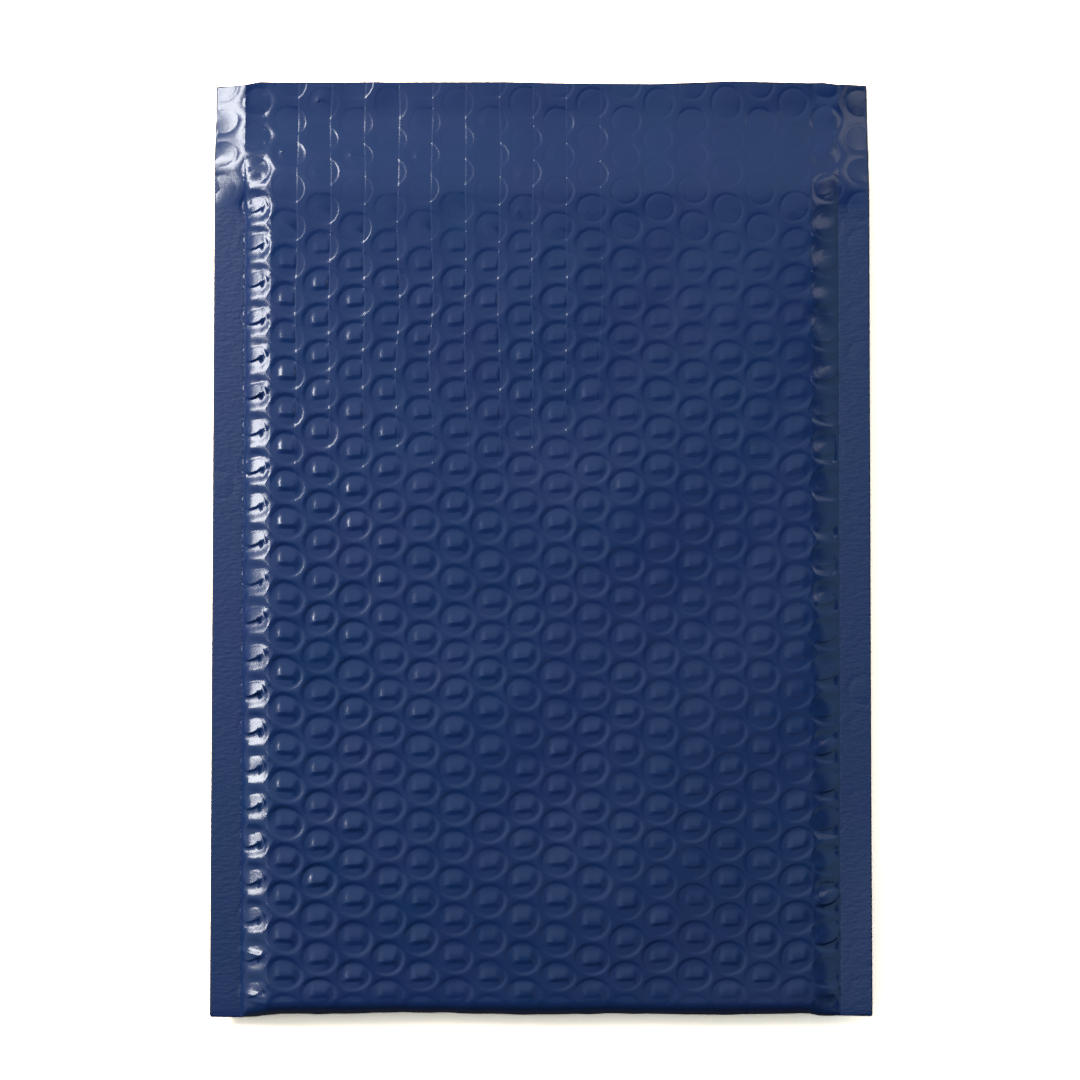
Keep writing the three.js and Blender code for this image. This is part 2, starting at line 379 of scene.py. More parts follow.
def fold_turn(s):
    return math.pi * np.clip((s - BACK_END) / (FOLD_END - BACK_END), 0.0, 1.0)


def flat_y(s):
    """Where s lies along Y, before the fold's own round is added."""
    return np.where(s < FOLD_END, np.interp(s, table_s, table_y), FOLD_Y + s - FOLD_END)


def web_length(y):
    """The place s along the back for a given y."""
    return np.interp(-y, -table_y, table_s)


# %% Places on the folded web
FOLD_RECESS = (1.4, 0.5)  # how far the fold draws in from the seal's corner, left and right
RECESS_X = (78.0, 89.0)
FOLD_SLANT = 0.9  # how much shorter the pouch is at its right end
SEAL_LEAN = (-0.3, 1.0)  # how far the outer edge of a seal stands off, left and right
SEAL_RAISE = (0.0, 1.5)  # how far a seal lies above the middle
CORNER_LEAN = 1.2  # how much more it stands off at the lower right corner
CORNER_Y = (-70.0, -125.0)
TIP_RECESS = (1.0, 0.8)  # how far the flap's corners fall back
TIP_RECESS_X = (86.0, 91.5)
TIP_WAVE = 0.22  # height of the waves in the flap's cut edge
TIP_WAVE_LENGTH = 26.0
TIP_REACH = 14.0  # how far from the cut edge they fade out
SLIDE_DOWN = 1.0  # how far the film of the back has slid towards the fold
SLIDE_WAVE = 0.3
SLIDE_LENGTH = 45.0  # of the slide's waves
SLIDE_FADE = 12.0  # how far from the back's edges the slide fades out


def waves(x, s, wavelength, seed, strands=14):
    """Smooth random waves of about unit height."""
    draw = np.random.default_rng(seed)
    total = np.zeros_like(x)
    for _ in range(strands):
        angle, phase, pace = draw.uniform(0, (2 * math.pi, 2 * math.pi, 1.0))
        along = x * math.cos(angle) + s * math.sin(angle)
        total += np.cos(2 * math.pi * along * (0.7 + 0.7 * pace) / wavelength + phase)
    return total * math.sqrt(2.0 / strands)


def film_slide(x, s):
    """How far the web has slid out of its even pattern at each place, across and along."""
    field = 1.0 - smooth(np.abs(x), FIELD_X - SLIDE_FADE, FIELD_X)
    field *= smooth(s, 0.0, SLIDE_FADE) * (1.0 - smooth(s, BACK_END - SLIDE_FADE, BACK_END))
    across = SLIDE_WAVE * waves(x, s, SLIDE_LENGTH, seed=11)
    return field * across, field * (SLIDE_DOWN + SLIDE_WAVE * waves(x, s, SLIDE_LENGTH, seed=12))


def place_on_web(x, s, lift):
    """Points in space for places on the web, raised by lift off its outer face."""
    slid = film_slide(x, s)
    x = x + slid[0]
    s = s + slid[1]
    turn = fold_turn(s)
    y = flat_y(s)
    on_back = s < BACK_END
    rise = outer_height(x, np.where(on_back, y, 0.0)) - WELD_Z + lift
    left, right = FOLD_RECESS
    drawn = left + (right - left) * smooth(x, -RECESS_X[0], RECESS_X[0])
    drawn = drawn * (1.0 - smooth(np.abs(x), *RECESS_X)) + FOLD_SLANT * smooth(x, 0.0, EDGE_X)
    tip = (1.0 - smooth(s, 0.0, TIP_REACH)) * (
        TIP_WAVE * waves(x, np.zeros_like(x), TIP_WAVE_LENGTH, seed=9)
        - by_side(x, TIP_RECESS) * smooth(np.abs(x), *TIP_RECESS_X)
    )
    t = np.clip((np.abs(x) - WELD_X) / SEAL_WIDTH, 0.0, 1.0)
    stand_off = by_side(x, SEAL_LEAN) + CORNER_LEAN * (x > 0) * smooth(y, *CORNER_Y)
    lean = stand_off * t + by_side(x, SEAL_RAISE) * (1.0 - padding(x))
    lean *= np.where(on_back, 1.0 - flap_share(y), 1.0)
    place_y = y + tip - (FOLD_RADIUS - drawn + lift) * np.sin(turn)
    place_z = WELD_Z + rise * np.cos(turn) + lean
    return np.stack([x, place_y, place_z], axis=1)


slid_x, slid_s = film_slide(np.zeros(1), np.full(1, BACK_END / 2))
print(f"in the middle of the back the film has slid by {slid_x[0]:.2f}, {slid_s[0]:.2f} mm")


# %% [markdown]
# Bubbles
#
# The bubbles stand in columns, and every other column is shifted by half a bubble. A mesh of
# squares would need very small squares to show their rings, so each bubble gets its own cell
# instead: a six-sided piece of web with rings of points round its middle. The cells share their
# sides, so they close up like a honeycomb.

# %% The lattice of bubbles
COLUMNS = 20  # 16 on the flat, one on each shoulder, one in each seal
ROWS = 52
CHANCES = 6  # random values for each bubble
BUBBLE_VARIATION = np.random.default_rng(7).normal(size=(COLUMNS, ROWS + 2, CHANCES))
BUBBLE_VARIATION = BUBBLE_VARIATION.clip(-2.0, 2.0)


def column_x(column):
    return (column - (COLUMNS - 1) / 2) * COLUMN_PITCH


def row_shift(column):
    return np.where(np.asarray(column) % 2 == 0, 0.0, 0.5)


def nearest_bubble(x, s):
    """Column, row and offsets of the bubble whose centre is nearest to each place."""
    best = None
    guess = np.round(x / COLUMN_PITCH + (COLUMNS - 1) / 2)
    for step in (0, -1, 1):
        column = np.clip(guess + step, 0, COLUMNS - 1).astype(int)
        row = np.round(s / BUBBLE_PITCH - row_shift(column)).astype(int)
        dx = x - column_x(column)
        ds = s - (row + row_shift(column)) * BUBBLE_PITCH
        found = np.stack([np.hypot(dx, ds), column, row, dx, ds])
        best = found if best is None else np.where(found[0] < best[0], found, best)
    return best[1].astype(int), best[2].astype(int), best[3], best[4]


print(f"{COLUMNS} columns of bubbles, {COLUMN_PITCH:.1f} mm apart")


# %% Shapes of a bubble
RING_FLOOR = 4.2  # radius where a bubble's groove reaches its floor
RIM = 5.65  # and where it starts
SHAPES = {
    # middle across and along, half sizes to the left, right, flap and fold, squareness, lean,
    # how far the middle strays
    "round": ((0.0, 0.0), (1.0, 1.0, 1.0, 1.0), 2.0, 0.0, 0.0),
    "bank": ((0.0, 0.0), (1.06, 1.06, 1.0, 1.0), 2.0, 0.0, 0.0),
    "dome": ((0.6, -0.5), (4.0, 3.0, 2.5, 2.8), 2.6, 0.08, 0.10),
    "lip": ((0.0, -0.1), (3.3, 3.3, 2.6, 2.6), 2.4, 0.3, 0.18),
    "dot": ((-1.8, -0.4), (1.0, 1.0, 1.0, 1.0), 2.0, 0.0, 0.5),
}


def in_half_sizes(shape, across, along):
    left, right, up, down = SHAPES[shape][1]
    return across / np.where(across < 0, left, right), along / np.where(along < 0, up, down)


def within(shape, dx, ds, vary):
    """Position in a shape: across and along in half sizes, and 1 for the distance at its edge."""
    middle, _, power, lean, stray = SHAPES[shape]
    across = dx - middle[0] - stray * vary[:, 1]
    along = ds - middle[1] - stray * vary[:, 2] + lean * across
    across, along = in_half_sizes(shape, across, along)
    return across, along, (np.abs(across) ** power + np.abs(along) ** power) ** (1.0 / power)


def shape_curve(shape, size, angle):
    """The closed curve on which the distance in a shape is the given size."""
    middle, _, power, lean, _ = SHAPES[shape]
    turn = np.stack([np.cos(angle), np.sin(angle)], axis=1)
    parts = np.abs(np.stack(in_half_sizes(shape, turn[:, 0], turn[:, 1]), axis=1))
    curve = size * turn / ((parts**power).sum(axis=1) ** (1.0 / power))[:, None]
    curve[:, 1] -= lean * curve[:, 0]
    return curve + middle


print("shapes:", ", ".join(SHAPES))


# %% Cells of the mesh
JOIN_WITHIN = 0.001


def cell_rim(side_steps):
    """Points round a six-sided cell, whose sides lie half-way to the next bubbles."""
    a, b = COLUMN_PITCH, BUBBLE_PITCH
    near = (a * a - b * b / 4) / (2 * a)
    far = (a * a + b * b / 4) / (2 * a)
    corners = np.array(
        [(far, 0), (near, b / 2), (-near, b / 2), (-far, 0), (-near, -b / 2), (near, -b / 2)]
    )
    ends = np.roll(corners, -1, axis=0)
    shares = np.arange(side_steps) / side_steps
    return np.concatenate([c + np.outer(shares, e - c) for c, e in zip(corners, ends)])


def cell_template(rings, side_steps):
    """Points of one cell, how far each may stray, and its faces: a middle, rings and the rim."""
    rim = cell_rim(side_steps)
    count = len(rim)
    angle = np.arctan2(rim[:, 1], rim[:, 0])
    curves = [shape_curve(shape, size, angle) for shape, size in rings]
    stray = [SHAPES[shape][4] for shape, _ in rings]
    points = np.concatenate([[SHAPES[rings[0][0]][0]], *curves, rim])
    strays = np.concatenate([stray[:1], np.repeat(stray, count), np.zeros(count)])
    turn = np.arange(count)
    after = (turn + 1) % count
    faces = [(0, 1 + i, 1 + j) for i, j in zip(turn, after)]
    for ring in range(len(rings)):
        inner = 1 + ring * count
        outer = inner + count
        faces += [(inner + i, outer + i, outer + j, inner + j) for i, j in zip(turn, after)]
    return points, strays[:, None], faces


def honeycomb(choose_rings, side_steps):
    """A flat mesh of all cells in x and s, with the points that cells share joined."""
    templates = {}
    points, faces, count = [], [], 0
    for column in range(COLUMNS):
        for row in range(ROWS):
            s = (row + row_shift(column)) * BUBBLE_PITCH
            if s > WEB_END + BUBBLE_PITCH / 2:
                continue
            rings = choose_rings(column, s)
            if rings not in templates:
                templates[rings] = cell_template(rings, side_steps)
            cell_points, strays, cell_faces = templates[rings]
            moved = cell_points + strays * BUBBLE_VARIATION[column, row, 1:3]
            points.append(moved + (column_x(column), s))
            faces += [tuple(count + i for i in face) for face in cell_faces]
            count += len(cell_points)
    points = np.concatenate(points)
    keys = np.round(points / JOIN_WITHIN).astype(np.int64)
    _, first, joined = np.unique(keys, axis=0, return_index=True, return_inverse=True)
    joined = joined.ravel()
    return points[first], [tuple(joined[i] for i in face) for face in faces]


print("points round a cell with 3 steps a side:", len(cell_rim(3)))


# %% Cutting the honeycomb
ON_EDGE = 1e-3  # what counts as lying on the web's edge
CUT_SNAP = 0.02  # points this near to a cut are moved onto it


def flat_mesh(points, faces):
    mesh = bpy.data.meshes.new("flat_web")
    mesh.from_pydata([(x, s, 0.0) for x, s in points], [], faces)
    flat = bmesh.new()
    flat.from_mesh(mesh)
    bpy.data.meshes.remove(mesh)
    return flat


def cut_to_outline(flat):
    """Cuts the flat mesh along the web's four straight edges."""
    for place, outward in (
        ((-EDGE_X, 0, 0), (-1, 0, 0)),
        ((EDGE_X, 0, 0), (1, 0, 0)),
        ((0, 0, 0), (0, -1, 0)),
        ((0, WEB_END, 0), (0, 1, 0)),
    ):
        everything = flat.verts[:] + flat.edges[:] + flat.faces[:]
        bmesh.ops.bisect_plane(
            flat, geom=everything, dist=ON_EDGE, plane_co=place, plane_no=outward, clear_outer=True
        )


def cut_faces(flat, faces, place, across):
    """Adds a straight row of edges to the given faces, through a place."""
    edges = {e for f in faces for e in f.edges}
    verts = {v for f in faces for v in f.verts}
    bmesh.ops.bisect_plane(
        flat, geom=[*verts, *edges, *faces], dist=CUT_SNAP, plane_co=place, plane_no=across
    )


def cut_lines(flat, lines_x, end_s):
    """Adds straight edges along the given lines, from the flap's edge to end_s."""
    for line_x in lines_x:
        faces = [
            f
            for f in flat.faces
            if abs(f.verts[0].co.x - line_x) < BUBBLE_PITCH / 2 and f.verts[0].co.y < end_s
        ]
        cut_faces(flat, faces, (line_x, 0, 0), (1, 0, 0))


# %% [markdown]
# Groove and dome
#
# The relief has to be real geometry, because light rakes across it. It could be sculpted, but each
# kind of bubble turns into the next across the web, so every kind is a function here, and they are
# blended further down. On most of the back the film has sunk round each bubble into a ring-shaped
# groove, which runs out at its lower left. A low dome stands in it like a wedge: it rises slowly
# from the flap's side, is steep at its left, and drops off past the middle. Chance makes each
# bubble a little deeper, flatter or more tipped than the next.

# %% Relief of a bubble on the back
RING_DEPTH = 0.27
RING_LEAN = 0.2  # how much deeper the groove is at its upper left
RING_OPEN = 0.55  # and how much of it is lost at its lower left
RING_OPEN_AT = (0.2, 1.3)
RING_SPREAD = 0.15  # how much its depth differs by chance
DOME_HEIGHT = 0.40
DOME_LEFT = (-3.2, -1.2)  # its steep left side
DOME_RIGHT = (2.0, 4.4)  # its gentle right side
DOME_RAMP = (-4.0, 0.4)  # from the flap's side it rises slowly
DOME_EDGE = (0.6, 2.3)  # and it drops off here
DOME_SLANT = 0.08  # of that edge
DOME_SPREAD = 0.15  # how much its height differs by chance
DOME_TIP = 0.04  # and how much it is tipped by chance

SAMPLES = 101
LINE = np.linspace(-RIM, RIM, SAMPLES)  # through the middle of a bubble, to measure its relief
MIDDLE = np.zeros(SAMPLES)
NO_CHANCE = np.zeros((SAMPLES, CHANCES))


def print_range(what, heights):
    print(f"{what}: {heights.min():.2f} to {heights.max():.2f} mm")


def ring_and_dome(dx, ds, vary):
    depth = RING_DEPTH * (1.0 + RING_SPREAD * vary[:, 0])
    bank = smooth(within("bank", dx, ds, vary)[2], RING_FLOOR, RIM)
    groove = depth * (bank - 1.0) * (1.0 - RING_LEAN * (dx + ds) / RIM)
    groove *= 1.0 - RING_OPEN * smooth((ds - dx) / RIM, *RING_OPEN_AT)
    across = dx - SHAPES["dome"][4] * vary[:, 1]
    along = ds - SHAPES["dome"][4] * vary[:, 2]
    dome = smooth(across, *DOME_LEFT) * (1.0 - smooth(across, *DOME_RIGHT))
    dome *= smooth(along, *DOME_RAMP) * (1.0 - smooth(along + DOME_SLANT * across, *DOME_EDGE))
    tipped = vary[:, 4] * across + vary[:, 5] * along
    dome *= 1.0 + DOME_SPREAD * vary[:, 3] + DOME_TIP * tipped
    return groove + DOME_HEIGHT * dome


print_range("groove and dome, down the middle", ring_and_dome(MIDDLE, LINE, NO_CHANCE))

# %% [markdown]
# Lip and scoop
#
# Beside the seals the padding slopes down, and there the film bulges over each bubble: a ramp ends
# in a lip, with a scoop below it. At the left they catch the window as white crescents. The left
# edge is plumper than the right one.

# %% Relief of a bubble on the padded edges
SCOOP_DEPTH = (0.60, 0.45)  # left and right, as the next three
SCOOP_FLOOR = (2.6, 3.7)
SCOOP_RIM = (5.7, 5.4)
LIP_HEIGHT = (0.9, 0.55)
SCOOP_STRETCH = 0.65  # below 1 the scoop is wider than long
SCOOP_SPREAD = 0.2  # how much its depth differs by chance
LIP_SPREAD = 0.25
LIP_TOP = 0.60  # share of its half size over which it is highest
LIP_RUN = 0.5  # below 1 the lip runs on towards the flat of the panel


def lip_and_scoop(x, dx, ds, vary):
    depth = by_side(x, SCOOP_DEPTH) * (1.0 + SCOOP_SPREAD * vary[:, 0])
    bank = smooth(np.hypot(SCOOP_STRETCH * dx, ds), by_side(x, SCOOP_FLOOR), by_side(x, SCOOP_RIM))
    across, along, _ = within("lip", dx, ds, vary)
    outward = across * np.sign(x)
    reach = np.hypot(np.where(outward < 0, LIP_RUN * across, across), along)
    ramp = by_side(x, LIP_HEIGHT) * (1.0 + LIP_SPREAD * vary[:, 3]) * (0.5 + 0.5 * along)
    return depth * (bank - 1.0) + ramp * (1.0 - smooth(reach, LIP_TOP, 1.0))


print_range("lip and scoop, at the left", lip_and_scoop(MIDDLE - FIELD_X, MIDDLE, LINE, NO_CHANCE))

# %% [markdown]
# Tight discs
#
# Towards the flap the film is drawn tight. There a bubble shows as a flat disc, tipped to the right
# up to a straight crease that runs down the whole column, and a lit facet lies between the crease
# and the disc's rim. Some discs have a small peak. In the seals and on the flap's side strips the
# bubbles are crushed, and only faint rings are left.

# %% Relief of a tight bubble
CREASE_X = 2.65  # from a column's middle to its crease
CREASE_STEP = 0.075  # how far the film steps up at it, towards the right
CREASE_HALF = 0.34  # half its width
FACET_RIM = (4.7, 5.3)  # radii between which a disc's rim steps up
FACET_OPEN = 1.0  # how far past the crease a disc must reach to have a full facet
FACET_SLOPE = 0.06
FACET_SLOPE_SPREAD = 0.25  # how much it differs by chance
FACET_STEP = 0.066
FACET_STEP_SPREAD = 0.4
DOT_HEIGHT = 0.13  # of the small peaks
DOT_SHARE = 0.4  # the larger, the more discs have one
DOT_X = (-30.0, 30.0)  # they fade out from left to right


def tipped_disc(x, dx, ds, vary):
    half = np.sqrt(np.maximum(FACET_RIM[1] ** 2 - ds**2, 0.0))
    open_facet = smooth(half, CREASE_X, CREASE_X + FACET_OPEN)
    step = FACET_STEP * (1.0 + FACET_STEP_SPREAD * vary[:, 0]) * open_facet
    slope = FACET_SLOPE * (1.0 + FACET_SLOPE_SPREAD * vary[:, 4])
    drop = slope * np.maximum(half - CREASE_X, 0.0) + step
    disc = drop * np.clip((dx + half) / (CREASE_X + half), 0.0, 1.0)
    facet = slope * np.maximum(half - dx, 0.0)
    facet += step * (1.0 - smooth(np.hypot(dx, ds), *FACET_RIM))
    _, _, reach = within("dot", dx, ds, vary)
    dot = DOT_HEIGHT * (DOT_SHARE + vary[:, 3]).clip(0.0, 2.0) * np.maximum(1.0 - reach, 0.0)
    dot *= 1.0 - smooth(x, *DOT_X)
    return dot - np.where(half > CREASE_X, np.where(dx < CREASE_X, disc, facet), 0.0)


def column_creases(x):
    """A low step up at each column's crease, with an even fall from one step to the next."""
    from_step = (x - column_x(0) - CREASE_X) / COLUMN_PITCH + 0.5
    from_step = from_step - np.floor(from_step)
    width = CREASE_HALF / COLUMN_PITCH
    return CREASE_STEP * (smooth(from_step, 0.5 - width, 0.5 + width) - from_step)


print_range("tight disc, across its middle", tipped_disc(MIDDLE, LINE, MIDDLE, NO_CHANCE))
print_range("creases", column_creases(LINE))

# %% Relief of a crushed bubble
CRUSHED_DEPTH = 0.10
CRUSHED_RADIUS = 4.3
CRUSHED_WIDTH = 0.5


def crushed_ring(dx, ds):
    off_ring = (np.hypot(dx, ds) - CRUSHED_RADIUS) / CRUSHED_WIDTH
    return -CRUSHED_DEPTH * np.exp(-(off_ring**2))


print_range("crushed ring", crushed_ring(LINE, MIDDLE))

# %% [markdown]
# Where each kind lies
#
# The kinds of bubble blend into each other. Each function below says how much of one there is at a
# place on the web, from none at 0 to all of it at 1. A limit that has two values is a soft one: the
# change is spread between them.

# %% Zones of the web
TIGHT_Y = (76.0, 114.0)  # above it the film is drawn tight
TIGHT_LOSS = 0.12  # a little less so at the right
TIGHT_X = (-10.0, 45.0)
CREASE_Y = (0.0, 65.0)  # above it the columns are creased
CREASE_LOSS = 0.85  # but hardly at the right
CREASE_END_X = (-20.0, 50.0)
BAND_START = (FIELD_X - 3.0, FIELD_X + 2.0)  # where the padded edge's bubbles begin
BAND_END = (WELD_X - 1.8, WELD_X)


def tight_zone(x, s):
    zone = smooth(flat_y(s), *TIGHT_Y) * (1.0 - TIGHT_LOSS * smooth(x, *TIGHT_X))
    return np.where(s < BACK_END, zone, 0.0)


def creased_zone(x, s):
    zone = smooth(flat_y(s), *CREASE_Y) * (1.0 - CREASE_LOSS * smooth(x, *CREASE_END_X))
    return np.where(s < BACK_END, zone, 0.0)


def on_flap(s):
    return np.where(s < BACK_END, flap_share(flat_y(s)), 0.0)


def shoulder_band(x):
    """1 on the padded edge, 0 on the flat and in the seal."""
    side = np.abs(x)
    return smooth(side, *BAND_START) * (1.0 - smooth(side, *BAND_END))


print(f"at the mouth the film is drawn tight by {tight_zone(0.0, web_length(MOUTH_Y)):.2f}")

# %% Strength of the bubbles
RIGHT_LOSS = 0.30  # what the bubbles lack of their relief at the right
RIGHT_X = (0.0, 70.0)
RIGHT_Y = (-110.0, -40.0)  # but not near the fold
LEFT_GAIN = 0.45  # and what they have more at the left
LEFT_X = (-76.0, -25.0)
LEFT_END = 0.75  # share of that gain that ends at the padded edge
UPPER_LOSS = (0.25, 0.25)  # what they lack towards the flap, and more of it at the right
UPPER_Y = (20.0, 95.0)
SEAL_FADE = (-1.5, 0.5)  # from the seal's start, where they fade out
FLAP_SEAL = 3.0  # how much farther out that is on the flap
FOLD_LOSS = 0.85
FOLD_FADE = (BACK_END - 8.0, BACK_END + 3.0)
FRONT_SHARE = 0.6


def bubble_strength(x, s):
    """How much of a bubble's relief is left at each place."""
    side = np.abs(x)
    y = flat_y(s)
    right = smooth(x, *RIGHT_X)
    left = (1.0 - smooth(x, *LEFT_X)) * (1.0 - LEFT_END * smooth(side, BAND_START[0], FIELD_X))
    strength = 1.0 - RIGHT_LOSS * right * smooth(y, *RIGHT_Y) + LEFT_GAIN * left
    strength *= 1.0 - (UPPER_LOSS[0] + UPPER_LOSS[1] * right) * smooth(y, *UPPER_Y)
    seal_start = WELD_X + FLAP_SEAL * on_flap(s)
    strength *= 1.0 - smooth(side, seal_start + SEAL_FADE[0], seal_start + SEAL_FADE[1])
    strength *= 1.0 - FOLD_LOSS * smooth(s, *FOLD_FADE)
    return np.where(s > FOLD_END, FRONT_SHARE * (side < WELD_X), strength)


for x in (-60.0, 0.0, 60.0):
    print(f"strength half-way down, at x = {x:.0f} mm: {bubble_strength(x, BACK_END / 2):.2f}")

# %% Crushed and faint rings
STRIP_RING = (0.55, 0.50)  # how clearly they show on the flap's strips, left and right
STRIP_START = (FIELD_X - 2.0, FIELD_X + 2.0)
SEAL_RING = 0.7  # in the seals, where chance leaves one
SEAL_START = (WELD_X - 1.0, WELD_X + 1.0)
FAINT_RING = 0.25  # on the flap
FAINT_MORE = 0.65  # and more at its right
FAINT_X = (-40.0, 30.0)


def crushed_share(x, s, vary):
    """How clearly a crushed bubble's ring shows: well on the flap's strips, barely in the seals."""
    side = np.abs(x)
    on_strip = on_flap(s) * smooth(side, *STRIP_START)
    in_seal = (1.0 - on_flap(s)) * smooth(side, *SEAL_START)
    return by_side(x, STRIP_RING) * on_strip + SEAL_RING * in_seal * vary[:, 0].clip(0.0, 2.0)


def faint_rings(x, s):
    """How clearly a tight bubble still shows as a ring on the flap."""
    return tight_zone(x, s) * (FAINT_RING + FAINT_MORE * smooth(x, *FAINT_X))


for x in (-60.0, 60.0):
    print(f"rings on the flap, at x = {x:.0f} mm: {faint_rings(x, 0.0):.2f}")

# %% Pleats
PLEATS = (
    # y, height: short folds in the left padded edge near the bottom
    (-123.6, 0.40),
    (-136.0, 0.45),
    (-139.6, 0.30),
)
PLEAT_X = -WELD_X + SHOULDER_WIDTH / 2
PLEAT_SLANT = 0.2
PLEAT_WIDTH = 0.9
PLEAT_END = (-85.0, -82.0)  # where a pleat runs out towards the flat


def pleat_relief(x, s):
    """Short slanting folds, where the left padded edge is squeezed."""
    window = smooth(x, -SEAL_START[1], -SEAL_START[0]) * (1.0 - smooth(x, *PLEAT_END))
    total = np.zeros_like(x)
    for pleat_y, height in PLEATS:
        away = (s - web_length(pleat_y) - PLEAT_SLANT * (x - PLEAT_X)) / PLEAT_WIDTH
        total += height * np.exp(-(away**2)) * window
    return total


print("pleats at y =", [y for y, _ in PLEATS], "mm")

# %% [markdown]
# Relief of the whole web
#
# The relief adds the kinds up by their shares. Slow waves run through the whole back, so that no
# two rows catch the light alike, and short ones run through the padded edges. The film keeps a
# least thickness under its grooves, and on the front nothing stands out of the face that the
# mailer rests on.

# %% Depth of the film piece
FILM_THIN = 0.15  # in the seals
FILM_EXTRA = 0.75  # and how much more in the padded panels
PADDED_FROM = 1.6  # thickness of the web where it has all of that


def film_depth(x, s):
    """How deep the film piece reaches below its plain outer face."""
    y = np.where(s < BACK_END, flat_y(s), 0.0)
    return FILM_THIN + FILM_EXTRA * smooth(web_thickness(x, y), SEAL_FILM, PADDED_FROM)


for x in (0.0, WELD_X + SEAL_WIDTH / 2):
    print(f"film piece at x = {x:.1f} mm: {film_depth(x, BACK_END / 2):.2f} mm deep")

# %% All of the relief
SLOW_WAVES = (0.22, 70.0)  # height and length
SHORT_WAVES = (0.04, 16.0)
EDGE_WAVES = (0.05, 0.16)  # height of those in the padded edges, left and right
EDGE_WAVE_LENGTH = 9.0
EDGE_WAVE_STRETCH = 0.6  # below 1 they are longer across the edge
FILM_LEAST = 0.12
FRONT_FROM = 0.75  # share of the fold's turn after which the rest face starts


def web_relief(x, s):
    column, row, dx, ds = nearest_bubble(x, s)
    vary = BUBBLE_VARIATION[column, row]
    creased = creased_zone(x, s)
    tight = tight_zone(x, s)
    tight += (np.maximum(creased, tight) - tight) * smooth(dx, CREASE_X - 1.0, CREASE_X)
    lift = ring_and_dome(dx, ds, vary)
    edge = shoulder_band(x) * (1.0 - on_flap(s))
    lift += (lip_and_scoop(x, dx, ds, vary) - lift) * edge
    lift += (tipped_disc(x, dx, ds, vary) - lift) * tight * (1.0 - edge)
    lift *= bubble_strength(x, s)
    lift += crushed_ring(dx, ds) * (crushed_share(x, s, vary) + faint_rings(x, s))
    flat = 1.0 - smooth(np.abs(x), FIELD_X, WELD_X)
    lift += column_creases(x) * creased * flat
    lift += pleat_relief(x, s)
    lift += SLOW_WAVES[0] * flat * waves(x, s, SLOW_WAVES[1], seed=3)
    lift += SHORT_WAVES[0] * flat * waves(x, s, SHORT_WAVES[1], seed=4)
    edge_waves = waves(EDGE_WAVE_STRETCH * x, s, EDGE_WAVE_LENGTH, seed=5)
    lift += shoulder_band(x) * by_side(x, EDGE_WAVES) * edge_waves
    lift = np.maximum(lift, FILM_LEAST - film_depth(x, s))
    on_rest_face = s > BACK_END + FRONT_FROM * (FOLD_END - BACK_END)
    return np.where(on_rest_face, np.minimum(lift, 0.0), lift)


across_back = np.linspace(-FIELD_X, FIELD_X, 2001)
print_range("across the whole back", web_relief(across_back, np.full(2001, BACK_END / 2)))

# %% [markdown]
# The film as one closed piece
#
# The relief lifts the flat mesh off the web, and the web is folded with it. Blender's Solidify
# modifier could give the film its thickness, but it would repeat the whole relief on the hidden
# side. So the inner face is a plain, coarser sheet with the same outline, and a narrow strip
# between the two edges closes the piece, as the film's cut edge does. The shading is worked out
# from the relief itself and not from the mesh, so the rings look smooth with few faces.

# %% Shading from the relief
SHADE_INSET = 0.12  # share of the way to a face's middle at which its corner is looked at
SHADE_STEP = 0.03  # how far to its side the relief is compared


def read(items, field, kind):
    values = np.empty(len(items), dtype=kind)
    items.foreach_get(field, values)
    return values


def shade_by_relief(mesh, x, s, lift, face_count):
    """Takes the shading of the first faces from the relief itself, not from the mesh."""
    starts = read(mesh.polygons, "loop_start", np.int32)
    counts = read(mesh.polygons, "loop_total", np.int32)[:face_count]
    end = starts[face_count]
    starts = starts[:face_count]
    corners = read(mesh.loops, "vertex_index", np.int32)[:end]
    face = np.repeat(np.arange(face_count), counts)
    places = []
    for values in (x[corners], s[corners]):
        middle = np.add.reduceat(values, starts) / counts
        places.append(values + SHADE_INSET * (middle[face] - values))
    here, across, along = (
        place_on_web(px, ps, lift(px, ps))
        for px, ps in (
            places,
            (places[0] + SHADE_STEP, places[1]),
            (places[0], places[1] + SHADE_STEP),
        )
    )
    facing = np.cross(across - here, along - here)
    facing /= np.linalg.norm(facing, axis=1)[:, None]
    flat = np.empty(3 * len(mesh.polygons))
    mesh.polygons.foreach_get("normal", flat)
    outward = flat.reshape(-1, 3)[:face_count][face]
    facing *= np.where((facing * outward).sum(axis=1) < 0, -1.0, 1.0)[:, None]
    normals = np.zeros((len(mesh.loops), 3))
    normals[:end] = facing
    mesh.normals_split_custom_set(normals.tolist())


# %% Closing two sheets into one piece
FULL_ROUND = 4.0  # positions round the web's outline: one for each of its sides
SEAL_LINES = 3  # lines of the plain sheet across a seal
SHOULDER_LINES = 5
FLAT_LINES = 8


def round_outline(x, s):
    """Position round the web's outline, from 0 on, for points that lie on it."""
    across = (x + EDGE_X) / (2 * EDGE_X)
    along = s / WEB_END
    return np.select(
        [s < ON_EDGE, x > EDGE_X - ON_EDGE, s > WEB_END - ON_EDGE],
        [across, 1.0 + along, 3.0 - across],
        FULL_ROUND - along,
    )


